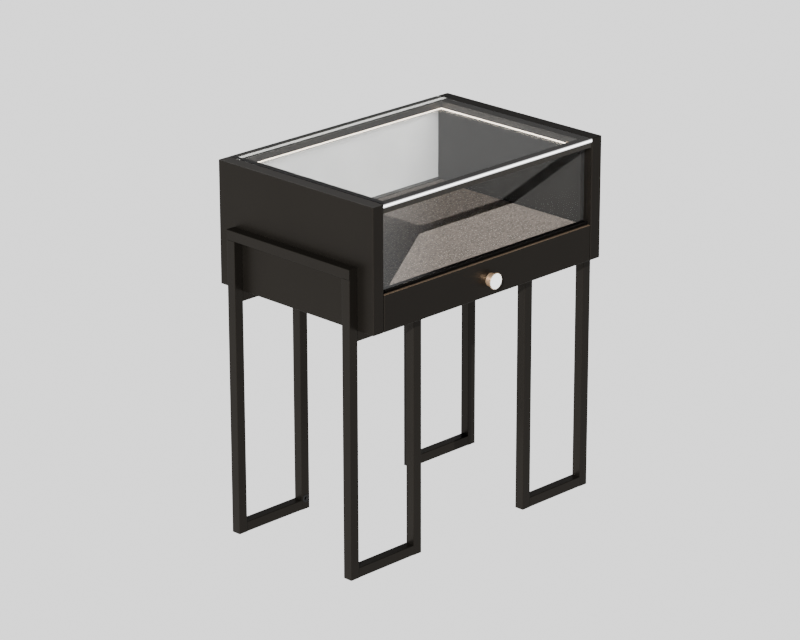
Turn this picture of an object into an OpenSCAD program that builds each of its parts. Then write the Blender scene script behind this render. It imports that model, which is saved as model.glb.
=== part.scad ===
// Display table for a shop: a glass-topped case with a lit interior and a
// drawer, standing on two frames of square tube.
// Millimetres, +Z up, the front with the drawer towards -Y.
// The origin is on the floor, under the middle of the whole table.

/* [Case] */
// Width of the case over its two side panels
case_w = 600; // [420:10:900]
// Depth of the case from front to back
case_d = 400; // [340:10:600]
// Height of the side panels
case_h = 240; // [190:5:320]
// Thickness of a side panel
panel_t = 26; // [16:1:32]
// Thickness of the bottom board and of the deck board
board_t = 12; // [9:1:18]
// Thickness of the low back board that closes the drawer bay
back_t = 20; // [16:1:24]
// Thickness of the lining panels inside the display
liner_t = 10; // [6:1:12]
// Chamfer along the panel edges
panel_edge = 0.8; // [0.3:0.1:1.5]

/* [Glass] */
// Thickness of the top pane and the front pane
glass_t = 8; // [5:1:10]
// Flat ground along the edges of the panes
glass_edge = 0.6; // [0.2:0.1:1]
// Gap between a pane and the side panels
glass_gap = 0.5; // [0.2:0.1:0.9]
// How far the front pane stands over the thickness of the drawer front
glass_over = 6; // [4:0.5:7]
// Wall of the channel under the front pane
channel_wall = 2; // [1.5:0.1:3]
// Height of the channel under the front pane
channel_h = 4; // [3.5:0.5:8]
// How far the underside of that channel lies below the deck
channel_drop = 0.5; // [0.3:0.1:1]

/* [Deck] */
// Clear height of the drawer bay under the deck board
bay_h = 47; // [46:1:70]
// Thickness of the suede cover on the deck
cover_t = 2; // [1:0.5:3]

/* [Top frame] */
// Width of the side rails under the top pane
rail_w = 18; // [17:1:24]
// Height of the rails under the top pane
rail_h = 10; // [8:1:16]
// Distance of the front rail behind the front of the case
rail_setback = 2; // [1:0.5:4]
// Depth of the groove for the front pane in the front rail
groove_h = 2; // [1:0.5:4]
// Height of the light channel below the rails
led_h = 6.5; // [5:0.5:10]
// Width of the diffuser in the light channel
diffuser_w = 4; // [3:0.5:5]
// Height of the diffuser in the light channel
diffuser_h = 3.5; // [2:0.5:4]
// Distance of the light's front end behind the front of the case
led_front = 50; // [34:1:90]
// Thickness of the end wall of the light channel
led_end = 3; // [2:0.5:6]

/* [Rear flap] */
// Thickness of the flap with its skin
flap_t = 10; // [9:0.5:14]
// Thickness of the flap's outer skin
skin_t = 1.2; // [0.8:0.1:2]
// Gap under the flap and at its ends
flap_gap = 1; // [0.6:0.1:1.5]
// Gap between the top of the flap and the rear rail
flap_top_gap = 1.5; // [1:0.1:3]
// Length of a hinge
hinge_len = 50; // [30:1:80]
// Width of a hinge leaf from the pin
hinge_leaf = 19; // [14:0.5:24]
// Thickness of a hinge leaf
hinge_t = 1.2; // [1:0.1:2]
// Radius of the hinge barrel
barrel_r = 3; // [2.5:0.1:4]
// Radius of the hinge pin
pin_r = 1.25; // [1:0.05:1.5]
// How far the pin's axis lies behind the back of the case
pin_out = 0.5; // [0.4:0.1:1]
// Distance of each hinge from the end of the flap
hinge_inset = 60; // [20:5:100]
// Length of the finger recess in the flap
pull_l = 80; // [50:5:120]
// Height of the finger recess in the flap
pull_h = 20; // [14:1:30]
// Depth of the finger recess in the flap
pull_deep = 6; // [3:0.5:6.5]
// Distance of the recess below the top of the flap
pull_drop = 24; // [16:1:40]
// Length of a magnetic catch
magnet_l = 30; // [16:1:60]
// Height of a magnetic catch
magnet_h = 5.5; // [4:0.5:6.5]
// Distance of each catch from the middle
magnet_x = 120; // [60:5:150]
// Thickness of the steel plate that the catch holds
strike_t = 1; // [0.6:0.1:2]
// Height of the steel plate that the catch holds
strike_h = 8; // [5:1:12]

/* [Drawer] */
// Thickness of the drawer front
front_t = 16; // [12:0.5:17]
// Gap beside the drawer front
front_gap = 1.5; // [0.8:0.1:2.5]
// Gap between the drawer front and the glass channel above it
front_drop = 2.1; // [1:0.1:4]
// Gap between the closed drawer's bumpers and the glass channel
bumper_gap = 0.5; // [0.4:0.1:1]
// Thickness of the drawer's sides and back
box_t = 10; // [8:0.5:16]
// Thickness of the drawer's bottom
box_floor = 5; // [3:0.5:8]
// Gap between the drawer box and the deck board
box_clear = 5; // [3:0.5:8]
// Room behind the drawer box for the light's driver
rear_room = 44; // [36:1:70]
// Height of the drawer box above the bottom board
box_lift = 4; // [2:0.5:5]
// Thickness of the felt in the drawer
felt_t = 1.5; // [1:0.5:3]

/* [Knob] */
// How far the knob stands out
knob_out = 15; // [12:0.5:24]
// Radius of the knob
knob_r = 16; // [12:0.5:22]
// Thickness of the cap on the knob's front
knob_cap = 2.5; // [2.5:0.5:5]
// Radius of the drum behind the cap
knob_drum = 13; // [9:0.5:14]
// Radius of the pale disc in the knob
disc_r = 14.8; // [10:0.2:15]
// Thickness of the pale disc
disc_t = 1.2; // [1:0.1:2]
// Height of the knob's middle above the drawer front's lower edge
knob_z = 31.5; // [26:0.5:40]
// Width and depth of the grooves round the knob's drum
knob_groove = 0.7; // [0.4:0.1:1.2]
// Chamfer at the foot of the knob's drum
knob_edge = 0.8; // [0.4:0.1:1.2]
// Radius of the knob's screw
knob_screw_r = 2; // [1.5:0.25:2.5]

/* [Runners] */
// Distance of the runners' rear ends from the back of the drawer box
runner_end = 14; // [0:1:40]
// Height of the runners
runner_h = 35; // [30:1:35]
// Width of a runner between the panel and the drawer
runner_w = 12.7; // [12:0.1:14]
// Sheet thickness of the runners
runner_t = 1.2; // [1:0.1:1.4]
// Running gap between the members of a runner
runner_gap = 0.4; // [0.3:0.05:0.5]
// Distance of the runners behind the front of the case
runner_y = 22; // [21:1:28]

/* [Frames] */
// Height of the underside of the case above the floor
leg_h = 482; // [300:2:800]
// Side of the square tube
tube = 20; // [16:1:30]
// Wall of the square tube
tube_wall = 1.5; // [1:0.1:2.5]
// Corner radius of the square tube
tube_edge = 1.2; // [0.6:0.1:2]
// How far the side frames rise beside the case
frame_rise = 120; // [60:5:180]
// Distance of the posts from the front and the back of the case
frame_inset = 40; // [20:1:90]
// How far a leg loop reaches in under the case
loop_in = 162; // [100:1:190]
// Height of a foot glide under the tube
glide_t = 1; // [0.5:0.1:3]
// Distance of a foot glide's rim inside the sides of the tube
glide_inset = 3; // [1:0.5:5]

/* [Cable outlet] */
// Distance of the grommet's flange from the inside of the tube's walls
grommet_gap = 0.7; // [0.4:0.1:1.5]
// Width of the grommet's flange outside its neck
grommet_lip = 1.8; // [1.2:0.1:2.2]
// Radius of the cable hole in the grommet
cable_r = 4; // [2.5:0.1:4.5]
// Thickness of a grommet flange
grommet_t = 1; // [0.6:0.1:1.5]
// Height of the grommet above the underside of the tube
grommet_z = 21.3; // [19:0.1:40]

/* [Light driver] */
// Length of the light driver's housing
driver_l = 120; // [80:5:160]
// Depth of the light driver's housing
driver_d = 28; // [18:1:30]
// Height of the light driver's housing
driver_h = 20; // [14:1:30]
// Length of a mounting ear of the light driver
driver_ear = 12; // [8:1:16]
// Thickness of a mounting ear
driver_ear_t = 3; // [2:0.5:4]
// Distance of the driver's middle left of the table's middle
driver_x = 60; // [40:1:62]

/* [Hidden] */

// Colours of the finishes
bronze = "#2f2c28";
bronze_top = "#3b3732";
suede = "#8d837b";
pale = "#e2e1de";
dark_lining = "#4d4b48";
clear_glass = "#cfe0dd";
steel = "#b9bbbd";
champagne = "#b8a083";
black = "#141414";
warm_light = "#fff3dd";
felt = "#5d5650";
driver_white = "#d8d8d6";
board = "#3a3836";

// Overrun of a cut past the face that it opens
over = 1;
// Sides of the round shapes
$fn = 48;

// Places across the table
half_w = case_w / 2;
inner_x = half_w - panel_t;
lining_x = inner_x - liner_t;
rail_x = inner_x - rail_w;
led_w = rail_w - liner_t;

// Places from front to back, measured from the front of the case
touch_gap = 0.3;
slot_gap = 0.2;
fit_gap = 0.1;
glass_setback = front_t - glass_over;
slot_y = glass_setback - slot_gap;
slot_end_y = glass_setback + glass_t + slot_gap;
channel_y = glass_setback - channel_wall;
deck_y = glass_setback + glass_t + channel_wall;
sill_y = case_d - back_t;
flap_y = case_d - flap_t;
magnet_d = 8;
rear_rail_w = flap_t + led_w + magnet_d;
rear_rail_y = case_d - rear_rail_w;

// The table's own frame: the knob and the hinges stand out of the case
front_y = (knob_out - case_d - pin_out - barrel_r) / 2;

// Heights above the floor
bay_z = leg_h + board_t;
deck_board_z = bay_z + bay_h;
cover_z = deck_board_z + board_t;
deck_z = cover_z + cover_t;
channel_z = deck_z - channel_drop;
case_top = leg_h + case_h;
pane_z = case_top - glass_t;
rail_z = pane_z - rail_h;
led_z = rail_z - led_h;
channel_floor = 1.8;
front_glass_z = channel_z + channel_floor;
front_glass_top = rail_z + groove_h - touch_gap;

// The flap and its hinges
flap_half = inner_x - flap_gap;
hinge_x = flap_half - hinge_inset - hinge_len / 2;
flap_z = deck_z + flap_gap;
flap_top = rail_z - flap_top_gap;
pin_y = case_d + pin_out;
pin_z = deck_z + flap_gap / 2;
knuckle = hinge_len / 4;
knuckle_gap = 0.3;
barrel_gap = 0.4;
pin_gap = 0.05;
pull_z = flap_top - pull_drop - pull_h;

// The drawer
front_half = inner_x - front_gap;
front_top = channel_z - front_drop;
box_half = inner_x - runner_w;
box_z = bay_z + box_lift;
box_h = bay_h - box_lift - box_clear;
box_d = sill_y - rear_room - front_t;
runner_z = box_z + box_h / 2;
bumper_r = 4;
bumper_t = slot_end_y - front_t - bumper_gap;
bumper_x = front_half - box_t - bumper_r;
bumper_z = (box_z + box_h + front_top) / 2;
knob_mid = leg_h + knob_z;
key_share = 0.8;
groove_shares = [0.36, 0.62];
knob_rim = (knob_r - disc_r) / 2;

// The members of a runner, from the panel inwards
runner_l = front_t + box_d - runner_end - runner_y;
outer_half = runner_h / 2;
outer_share = 0.75;
outer_depth = runner_w * outer_share;
hook_share = 1.2;
middle_half = outer_half - runner_t - runner_gap;
middle_x = runner_t + runner_gap;
middle_end = outer_depth - runner_t - runner_gap;
inner_half = middle_half - runner_t - runner_gap;
inner_start = middle_x + runner_t + runner_gap;

// The frames
tube_z = glide_t;
loop_x = half_w - loop_in;
bar_z = leg_h - tube;
frame_top = leg_h + frame_rise;
rear_post_y = case_d - frame_inset - tube;
glide_r = tube / 2 - glide_inset;
glide_stem_r = 3;
glide_stem = 6;
cable_x = loop_x + tube / 2;
grommet_r = tube / 2 - tube_wall - grommet_gap;
grommet_neck = grommet_r - grommet_lip;
ear_hole_r = 2;

// The screws that hold the leg loops
screw_r = 2.5;
screw_head_r = 4.8;
screw_head_h = 2.6;
screw_key_r = 1.5;
screw_key = 1.6;
bite_share = 0.8;
screw_bite = board_t * bite_share;
screw_shares = [0.3, 0.72];

// A box given by its low corner and its high corner
module block(low, high) {
    translate(low) cube([high[0] - low[0], high[1] - low[1], high[2] - low[2]]);
}

// A rectangle with chamfered corners, its low corner at the origin
module chamfered(w, h, c) {
    polygon([[c, 0], [w - c, 0], [w, c], [w, h - c],
        [w - c, h], [c, h], [0, h - c], [0, c]]);
}

// A plate between two corners, chamfered along every edge
module plate(low, high, c) {
    w = high[0] - low[0];
    d = high[1] - low[1];
    h = high[2] - low[2];
    translate(low) intersection() {
        linear_extrude(h) chamfered(w, d, c);
        translate([0, d, 0]) rotate([90, 0, 0]) linear_extrude(d) chamfered(w, h, c);
        rotate([90, 0, 90]) linear_extrude(w) chamfered(d, h, c);
    }
}

// Points of a square with rounded corners, around its own middle
function rounded(s, r, steps = 3) = [for (q = [0:3]) for (i = [0:steps])
    let (a = 90 * q + 90 * i / steps, m = s / 2 - r,
        sx = (q == 0 || q == 3) ? m : -m, sy = (q < 2) ? m : -m)
    [sx + r * cos(a), sy + r * sin(a)]];

// A length of square tube along +Z, closed at either end where asked
module square_tube(l, low_cap = false, high_cap = false) {
    from = low_cap ? tube_wall : -over;
    to = high_cap ? l - tube_wall : l + over;
    difference() {
        linear_extrude(l) polygon(rounded(tube, tube_edge));
        translate([0, 0, from]) linear_extrude(to - from) square(tube - 2 * tube_wall, center = true);
    }
}

// Puts a shape that is made on the right onto the left as well
module on_side(side) {
    mirror([side < 0 ? 1 : 0, 0, 0]) children();
}

// Moves what is measured from the front of the case into the table's frame
module placed() {
    translate([0, front_y, 0]) children();
}

// Case

module side_panel(side) {
    placed() on_side(side) color(bronze) plate([inner_x, 0, leg_h], [half_w, case_d, case_top], panel_edge);
}

module bottom_panel() {
    placed() color(board) difference() {
        block([-inner_x, deck_y, leg_h], [inner_x, sill_y, bay_z]);
        for (side = [-1, 1]) for (y = [frame_inset, rear_post_y]) for (share = screw_shares)
            translate([side * screw_x(share), y + tube / 2, leg_h - over])
                cylinder(r = screw_r + fit_gap, h = screw_bite + over);
        translate([-cable_x, rear_post_y + tube / 2, leg_h - over])
            cylinder(r = cable_r, h = board_t + 2 * over);
    }
}

module back_board() {
    placed() color(bronze) difference() {
        block([-inner_x, sill_y, leg_h], [inner_x, case_d, deck_z]);
        for (side = [-1, 1]) translate([side * hinge_x, 0, 0]) {
            barrel_space();
            translate([-hinge_len / 2 - touch_gap, case_d - hinge_t, pin_z - hinge_leaf - touch_gap])
                cube([hinge_len + 2 * touch_gap, hinge_t + over, hinge_leaf + over]);
        }
    }
}

module deck_board() {
    placed() color(board) block([-inner_x, deck_y, deck_board_z], [inner_x, sill_y, cover_z]);
}

module deck_cover() {
    placed() color(suede) block([-lining_x, deck_y, cover_z], [lining_x, sill_y, deck_z]);
}

module lining(side) {
    placed() on_side(side) color(dark_lining) difference() {
        block([lining_x, deck_y, cover_z], [inner_x, flap_y - touch_gap, rail_z]);
        block([lining_x - over, sill_y, cover_z - over], [inner_x + over, case_d, deck_z]);
    }
}

// Glass and its seat

module glass_channel() {
    placed() color(black) rotate([90, 0, 90])
        translate([0, 0, -inner_x]) linear_extrude(2 * inner_x) polygon([
            [channel_y, channel_z], [slot_end_y, channel_z], [slot_end_y, deck_board_z],
            [deck_y, deck_board_z], [deck_y, channel_z + channel_h],
            [slot_end_y, channel_z + channel_h], [slot_end_y, front_glass_z],
            [slot_y, front_glass_z], [slot_y, channel_z + channel_h],
            [channel_y, channel_z + channel_h]]);
}

module front_glass() {
    reach = inner_x - glass_gap;
    placed() color(clear_glass, 0.35)
        plate([-reach, glass_setback, front_glass_z],
            [reach, glass_setback + glass_t, front_glass_top], glass_edge);
}

module top_glass() {
    reach = inner_x - glass_gap;
    placed() color(clear_glass, 0.35)
        plate([-reach, 0, pane_z], [reach, case_d, case_top], glass_edge);
}

// Rails under the top pane, with the lights

module front_rail() {
    placed() color(bronze_top) difference() {
        block([-inner_x, rail_setback, rail_z], [inner_x, deck_y, pane_z]);
        block([-inner_x - over, slot_y, rail_z - over], [inner_x + over, slot_end_y, rail_z + groove_h]);
    }
}

module side_rail(side) {
    placed() on_side(side) color(bronze_top) difference() {
        union() {
            block([rail_x, deck_y, rail_z], [inner_x, rear_rail_y, pane_z]);
            block([rail_x, led_front - led_end, led_z], [rail_x + led_w, rear_rail_y, rail_z]);
        }
        block([rail_x - over, led_front, led_z - over],
            [rail_x + diffuser_w, rear_rail_y + over, led_z + diffuser_h]);
    }
}

module rear_rail() {
    led_reach = min(rail_x + led_w, lining_x);
    placed() color(bronze_top) difference() {
        union() {
            block([-inner_x, rear_rail_y, rail_z], [inner_x, case_d, pane_z]);
            block([-led_reach, rear_rail_y, led_z], [led_reach, rear_rail_y + led_w, rail_z]);
        }
        block([-rail_x - diffuser_w, rear_rail_y - over, led_z - over],
            [rail_x + diffuser_w, rear_rail_y + diffuser_w, led_z + diffuser_h]);
    }
}

module light_diffuser() {
    reach = rail_x + diffuser_w;
    placed() color(warm_light) union() {
        block([-reach, rear_rail_y, led_z], [reach, rear_rail_y + diffuser_w, led_z + diffuser_h]);
        for (side = [-1, 1]) on_side(side)
            block([rail_x, led_front, led_z], [reach, rear_rail_y, led_z + diffuser_h]);
    }
}

module light_driver() {
    y = sill_y - driver_d - driver_ear_t;
    placed() color(driver_white) translate([-driver_x, y, bay_z]) {
        plate([-driver_l / 2, 0, 0], [driver_l / 2, driver_d, driver_h], panel_edge);
        for (side = [-1, 1]) on_side(side) difference() {
            block([driver_l / 2, 0, 0], [driver_l / 2 + driver_ear, driver_d, driver_ear_t]);
            translate([driver_l / 2 + driver_ear / 2, driver_d / 2, -over])
                cylinder(r = ear_hole_r, h = driver_ear_t + 2 * over);
        }
    }
}

module magnetic_catches() {
    placed() color(steel) for (side = [-1, 1]) on_side(side)
        block([magnet_x - magnet_l / 2, rear_rail_y + led_w, rail_z - magnet_h],
            [magnet_x + magnet_l / 2, flap_y - touch_gap, rail_z]);
}

// Rear flap

// The room that a hinge barrel needs
module barrel_space() {
    hinge_bar(barrel_r + barrel_gap, -hinge_len / 2 - touch_gap, hinge_len / 2 + touch_gap);
}

// The outline of the finger recess, in the plane of the flap
module recess() {
    r = pull_h / 2;
    straight = pull_l - pull_h;
    translate([0, case_d + over, pull_z + r]) rotate([90, 0, 0]) linear_extrude(pull_deep + over) {
        square([straight, pull_h], center = true);
        for (side = [-1, 1]) translate([side * straight / 2, 0]) circle(r);
    }
}

// What the hinges and the recess take out of the flap
module flap_cuts() {
    recess();
    for (side = [-1, 1]) translate([side * hinge_x, 0, 0]) {
        barrel_space();
        translate([-hinge_len / 2 - touch_gap, case_d - hinge_t, pin_z - over])
            cube([hinge_len + 2 * touch_gap, hinge_t + over, hinge_leaf + touch_gap + over]);
    }
}

module rear_flap() {
    placed() color(pale) difference() {
        block([-flap_half, flap_y, flap_z], [flap_half, case_d - skin_t, flap_top]);
        flap_cuts();
        strikes(strike_t, over);
    }
}

// The two steel plates, or the pockets for them, at the flap's upper edge
module strikes(deep, past = 0) {
    for (side = [-1, 1]) on_side(side)
        block([magnet_x - magnet_l / 2, flap_y - past, flap_top - strike_h],
            [magnet_x + magnet_l / 2, flap_y + deep, flap_top + past]);
}

module strike_plates() {
    placed() color(steel) strikes(strike_t);
}

module flap_skin() {
    placed() color(bronze) difference() {
        block([-flap_half, case_d - skin_t, flap_z], [flap_half, case_d, flap_top]);
        flap_cuts();
    }
}

// A round bar along X about the hinge's axis, from x0 to x1
module hinge_bar(r, x0, x1) {
    translate([x0, pin_y, pin_z]) rotate([0, 90, 0]) cylinder(r = r, h = x1 - x0);
}

// One knuckle of a hinge from x0 to x1, with its neck to a leaf that goes up or down
module hinge_knuckle(x0, x1, up) {
    hinge_bar(barrel_r, x0, x1);
    translate([x0, case_d - hinge_t, up ? pin_z : pin_z - hinge_leaf])
        cube([x1 - x0, hinge_t, hinge_leaf]);
}

// The plate of a hinge leaf, clear of the barrel
module hinge_plate(up) {
    clear = barrel_r + barrel_gap;
    translate([-hinge_len / 2, case_d - hinge_t, up ? pin_z + clear : pin_z - hinge_leaf])
        cube([hinge_len, hinge_t, hinge_leaf - clear]);
}

module hinge_case_leaves() {
    placed() color(steel) for (side = [-1, 1]) translate([side * hinge_x, 0, 0]) {
        union() {
            hinge_plate(false);
            hinge_knuckle(-hinge_len / 2, -knuckle, false);
            hinge_knuckle(knuckle, hinge_len / 2, false);
            hinge_bar(pin_r, -hinge_len / 2, hinge_len / 2);
        }
    }
}

module hinge_flap_leaves() {
    reach = knuckle - knuckle_gap;
    placed() color(steel) for (side = [-1, 1]) translate([side * hinge_x, 0, 0]) {
        difference() {
            union() {
                hinge_plate(true);
                hinge_knuckle(-reach, reach, true);
            }
            hinge_bar(pin_r + pin_gap, -knuckle - over, knuckle + over);
        }
    }
}

// Drawer

module drawer_front() {
    placed() color(bronze) difference() {
        plate([-front_half, 0, leg_h], [front_half, front_t, front_top], panel_edge);
        translate([0, front_t + over, knob_mid]) rotate([90, 0, 0])
            cylinder(r = knob_screw_r + fit_gap, h = front_t + 2 * over);
    }
}

module drawer_side(side) {
    placed() on_side(side) color(board)
        block([box_half - box_t, front_t, box_z], [box_half, front_t + box_d, box_z + box_h]);
}

module drawer_back() {
    reach = box_half - box_t;
    placed() color(board)
        block([-reach, front_t + box_d - box_t, box_z], [reach, front_t + box_d, box_z + box_h]);
}

module drawer_bottom() {
    reach = box_half - box_t;
    placed() color(board)
        block([-reach, front_t, box_z], [reach, front_t + box_d - box_t, box_z + box_floor]);
}

module drawer_felt() {
    reach = box_half - box_t;
    low = box_z + box_floor;
    placed() color(felt)
        block([-reach, front_t, low], [reach, front_t + box_d - box_t, low + felt_t]);
}

module drawer_bumpers() {
    placed() color(black) for (side = [-1, 1])
        translate([side * bumper_x, front_t, bumper_z]) rotate([-90, 0, 0])
            cylinder(r = bumper_r, h = bumper_t);
}

// Puts a shape turned about Z onto the drawer front, its +Z pointing forwards
module on_knob() {
    placed() translate([0, 0, knob_mid]) rotate([90, 0, 0]) children();
}

module knob_body() {
    drum_l = knob_out - knob_cap;
    seat = knob_out - disc_t;
    grooves = [for (share = groove_shares) let (z = drum_l * share) each [
        [knob_drum, z], [knob_drum - knob_groove, z],
        [knob_drum - knob_groove, z + knob_groove], [knob_drum, z + knob_groove]]];
    on_knob() color(champagne) difference() {
        rotate_extrude() polygon(concat(
            [[0, 0], [knob_drum - knob_edge, 0], [knob_drum, knob_edge]],
            grooves,
            [[knob_drum, drum_l], [knob_r - knob_rim, drum_l], [knob_r, drum_l + knob_rim],
                [knob_r, knob_out - knob_rim], [knob_r - knob_rim, knob_out],
                [disc_r, knob_out], [disc_r, seat], [0, seat]]));
        translate([0, 0, -over]) cylinder(r = knob_screw_r + pin_gap, h = drum_l + over);
    }
}

module knob_disc() {
    on_knob() color(pale) translate([0, 0, knob_out - disc_t]) cylinder(r = disc_r, h = disc_t);
}

module knob_screw() {
    drum_l = knob_out - knob_cap;
    head_h = knob_screw_r;
    on_knob() color(steel) {
        difference() {
            union() {
                translate([0, 0, -front_t]) cylinder(r = knob_screw_r, h = front_t + drum_l);
                translate([0, 0, -front_t - head_h]) cylinder(r = 2 * knob_screw_r, h = head_h);
            }
            translate([0, 0, -front_t - head_h - over])
                cylinder(r = knob_screw_r * key_share, h = head_h / 2 + over, $fn = 6);
        }
    }
}

// Runners, made on the right with x measured from the panel towards the drawer

module runner(side, y, profile) {
    placed() on_side(side) translate([inner_x, y + runner_l, runner_z]) rotate([90, 0, 0])
        linear_extrude(runner_l) mirror([1, 0]) polygon(profile);
}

module runner_outer(side) {
    h = outer_half;
    hook = h - runner_t - hook_share * runner_t;
    color(steel) runner(side, runner_y, [
        [0, -h], [outer_depth, -h], [outer_depth, -hook], [outer_depth - runner_t, -hook],
        [outer_depth - runner_t, -h + runner_t], [runner_t, -h + runner_t],
        [runner_t, h - runner_t], [outer_depth - runner_t, h - runner_t],
        [outer_depth - runner_t, hook], [outer_depth, hook], [outer_depth, h], [0, h]]);
}

module runner_middle(side) {
    h = middle_half;
    color(steel) runner(side, runner_y, [
        [middle_x, -h], [middle_end, -h], [middle_end, -h + runner_t],
        [middle_x + runner_t, -h + runner_t], [middle_x + runner_t, h - runner_t],
        [middle_end, h - runner_t], [middle_end, h], [middle_x, h]]);
}

module runner_inner(side) {
    h = inner_half;
    color(steel) runner(side, runner_y, [
        [inner_start, -h], [runner_w, -h], [runner_w, h], [inner_start, h],
        [inner_start, h - runner_t], [runner_w - runner_t, h - runner_t],
        [runner_w - runner_t, -h + runner_t], [inner_start, -h + runner_t]]);
}

// Frames of square tube, made on the right

module outer_post(side, y) {
    placed() on_side(side) color(bronze) translate([half_w + tube / 2, y + tube / 2, tube_z]) {
        difference() {
            square_tube(frame_top - tube - tube_z, low_cap = true);
            glide_hole();
        }
    }
}

module top_rail(side) {
    l = case_d - 2 * frame_inset;
    placed() on_side(side) color(bronze)
        translate([half_w + tube / 2, frame_inset + l, frame_top - tube / 2])
            rotate([90, 0, 0]) square_tube(l, low_cap = true, high_cap = true);
}

module inner_post(side, y, outlet) {
    placed() on_side(side) color(bronze) translate([loop_x + tube / 2, y + tube / 2, tube_z]) {
        difference() {
            square_tube(leg_h - tube_z, low_cap = true);
            glide_hole();
            if (outlet) translate([0, 0, grommet_z]) rotate([90, 0, 0])
                cylinder(r = grommet_neck + fit_gap, h = tube);
        }
    }
}

module foot_bar(side, y) {
    placed() on_side(side) color(bronze)
        translate([loop_x + tube, y + tube / 2, tube_z + tube / 2])
            rotate([90, 0, 90]) square_tube(loop_in - tube);
}

module top_bar(side, y) {
    placed() on_side(side) color(bronze) difference() {
        translate([loop_x + tube, y + tube / 2, bar_z + tube / 2])
            rotate([90, 0, 90]) square_tube(loop_in - tube);
        for (share = screw_shares) translate([screw_x(share), y + tube / 2, bar_z - over])
            cylinder(r = screw_r + fit_gap, h = tube + 2 * over);
    }
}

// Places of the screws along a loop's top bar, as shares of the run under the bottom board
function screw_x(share) = loop_x + tube + (loop_in - tube - panel_t) * share;

module glide_hole() {
    translate([0, 0, -over]) cylinder(r = glide_stem_r + fit_gap, h = tube_wall + 2 * over);
}

module foot_glide() {
    cylinder(r = glide_r, h = glide_t);
    cylinder(r = glide_stem_r, h = glide_t + tube_wall + glide_stem);
}

module foot_glides() {
    placed() color(black) for (side = [-1, 1]) on_side(side)
        for (y = [frame_inset, rear_post_y]) for (x = [loop_x, half_w])
            translate([x + tube / 2, y + tube / 2, 0]) foot_glide();
}

module frame_screws() {
    shank = tube + screw_bite;
    placed() color(steel) for (side = [-1, 1]) on_side(side)
        for (y = [frame_inset, rear_post_y]) for (share = screw_shares)
            translate([screw_x(share), y + tube / 2, bar_z]) difference() {
                union() {
                    cylinder(r = screw_r, h = shank);
                    translate([0, 0, -screw_head_h]) cylinder(r = screw_head_r, h = screw_head_h);
                }
                translate([0, 0, -screw_head_h - over])
                    cylinder(r = screw_key_r, h = screw_key + over, $fn = 6);
            }
}

// The cable outlet: a rubber grommet in the front wall of the left rear loop
module cable_grommet() {
    l = tube_wall + 2 * grommet_t;
    placed() on_side(-1) color(black)
        translate([cable_x, rear_post_y - grommet_t, tube_z + grommet_z]) rotate([-90, 0, 0])
            difference() {
                union() {
                    cylinder(r = grommet_r, h = grommet_t);
                    cylinder(r = grommet_neck, h = l);
                    translate([0, 0, grommet_t + tube_wall]) cylinder(r = grommet_r, h = grommet_t);
                }
                translate([0, 0, -over]) cylinder(r = cable_r, h = l + 2 * over);
            }
}

side_panel(-1);  // side_panel_left
side_panel(1);  // side_panel_right
bottom_panel();
back_board();
deck_board();
deck_cover();
lining(-1);  // lining_left
lining(1);  // lining_right
glass_channel();
front_glass();
top_glass();
front_rail();
rear_rail();
side_rail(-1);  // side_rail_left
side_rail(1);  // side_rail_right
light_diffuser();
light_driver();
magnetic_catches();
rear_flap();
flap_skin();
strike_plates();
hinge_case_leaves();
hinge_flap_leaves();
drawer_front();
drawer_side(-1);  // drawer_side_left
drawer_side(1);  // drawer_side_right
drawer_back();
drawer_bottom();
drawer_felt();
drawer_bumpers();
knob_body();
knob_disc();
knob_screw();
runner_outer(-1);  // runner_outer_left
runner_outer(1);  // runner_outer_right
runner_middle(-1);  // runner_middle_left
runner_middle(1);  // runner_middle_right
runner_inner(-1);  // runner_inner_left
runner_inner(1);  // runner_inner_right
outer_post(-1, frame_inset);  // front_post_left
outer_post(-1, rear_post_y);  // rear_post_left
top_rail(-1);  // top_rail_left
inner_post(-1, frame_inset, false);  // front_inner_post_left
inner_post(-1, rear_post_y, true);  // rear_inner_post_left
foot_bar(-1, frame_inset);  // front_foot_bar_left
foot_bar(-1, rear_post_y);  // rear_foot_bar_left
top_bar(-1, frame_inset);  // front_top_bar_left
top_bar(-1, rear_post_y);  // rear_top_bar_left
outer_post(1, frame_inset);  // front_post_right
outer_post(1, rear_post_y);  // rear_post_right
top_rail(1);  // top_rail_right
inner_post(1, frame_inset, false);  // front_inner_post_right
inner_post(1, rear_post_y, false);  // rear_inner_post_right
foot_bar(1, frame_inset);  // front_foot_bar_right
foot_bar(1, rear_post_y);  // rear_foot_bar_right
top_bar(1, frame_inset);  // front_top_bar_right
top_bar(1, rear_post_y);  // rear_top_bar_right
cable_grommet();
foot_glides();
frame_screws();
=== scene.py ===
"""The looks of the display table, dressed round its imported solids.

The table is a dark bronze case with a glass top and a glass front. It holds a
suede deck, a line of warm light and a drawer, and stands on square tube.
Lengths are in metres and the front with the drawer is towards -Y.
"""

from __future__ import annotations

import logging
import math
from dataclasses import dataclass, field
from enum import Enum

import bmesh
import bpy
from mathutils import Matrix, Vector

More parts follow.
